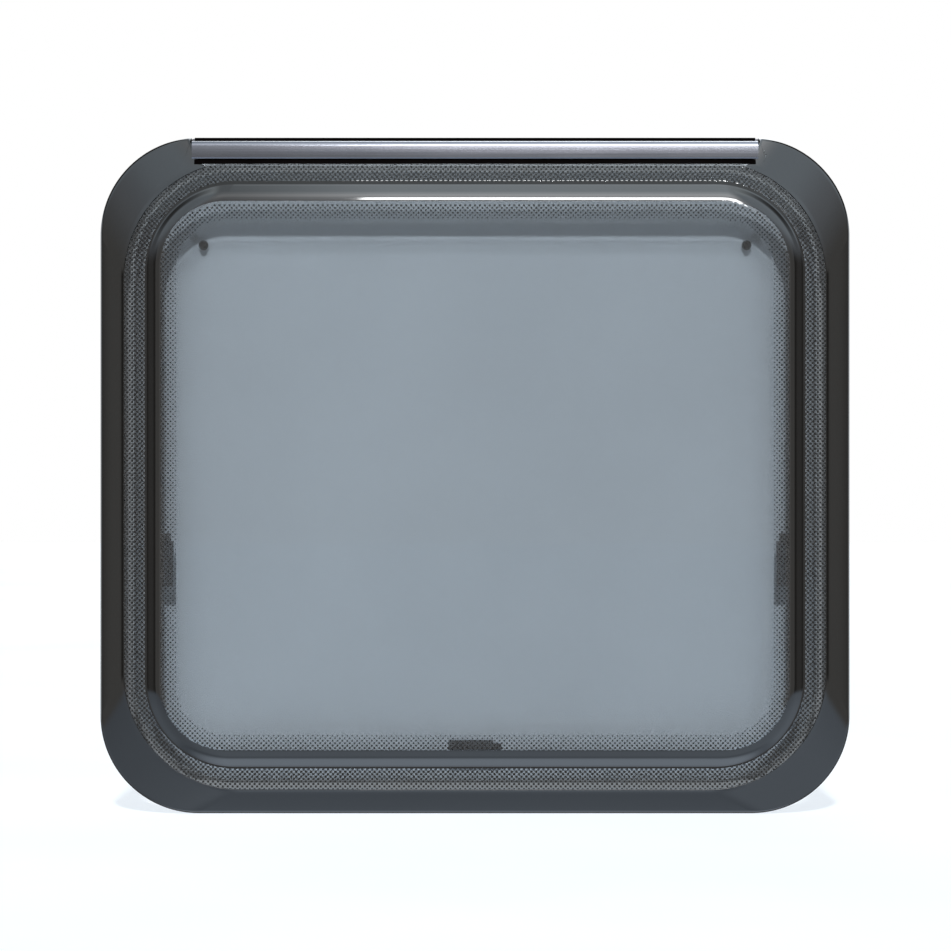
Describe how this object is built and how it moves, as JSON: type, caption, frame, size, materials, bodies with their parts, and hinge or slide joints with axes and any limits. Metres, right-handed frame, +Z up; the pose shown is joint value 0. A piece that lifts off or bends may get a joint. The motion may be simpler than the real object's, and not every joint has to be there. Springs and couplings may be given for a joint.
{
  "type": "caravan window",
  "caption": "Top-hung caravan window of smoke-tinted moulded acrylic with a stepped dark border, an aluminium hook-on hinge rail along its top edge, catch bases and vent plugs.",
  "frame": {"origin": "middle of the flat back face of the hinge rail's upper web, the face that leans on the caravan's hinge strip", "axes": "+X to the right seen from outside, +Y from outside into the caravan, +Z up"},
  "size_m": [0.75, 0.0386, 0.676],
  "materials": {
    "smoke_acrylic": "clear smoke-grey tint, glossy on both faces, with a dark printed border",
    "sealant": "satin black sealant",
    "rail_aluminium": "satin anodised, drawn along its length",
    "black_rubber": "matt black rubber",
    "black_plastic": "fine-grained black moulding"
  },
  "bodies": {
    "root": {"outer_pane": "smoke_acrylic", "inner_pane": "smoke_acrylic", "bond_bead": "sealant", "hinge_rail": "rail_aluminium", "hinge_liner": "black_rubber", "hinge_seal": "black_rubber", "catch_base_left": "black_plastic", "catch_base_right": "black_plastic", "catch_base_bottom": "black_plastic", "vent_plug_left": "black_rubber", "vent_plug_right": "black_rubber"}
  },
  "joints": []
}
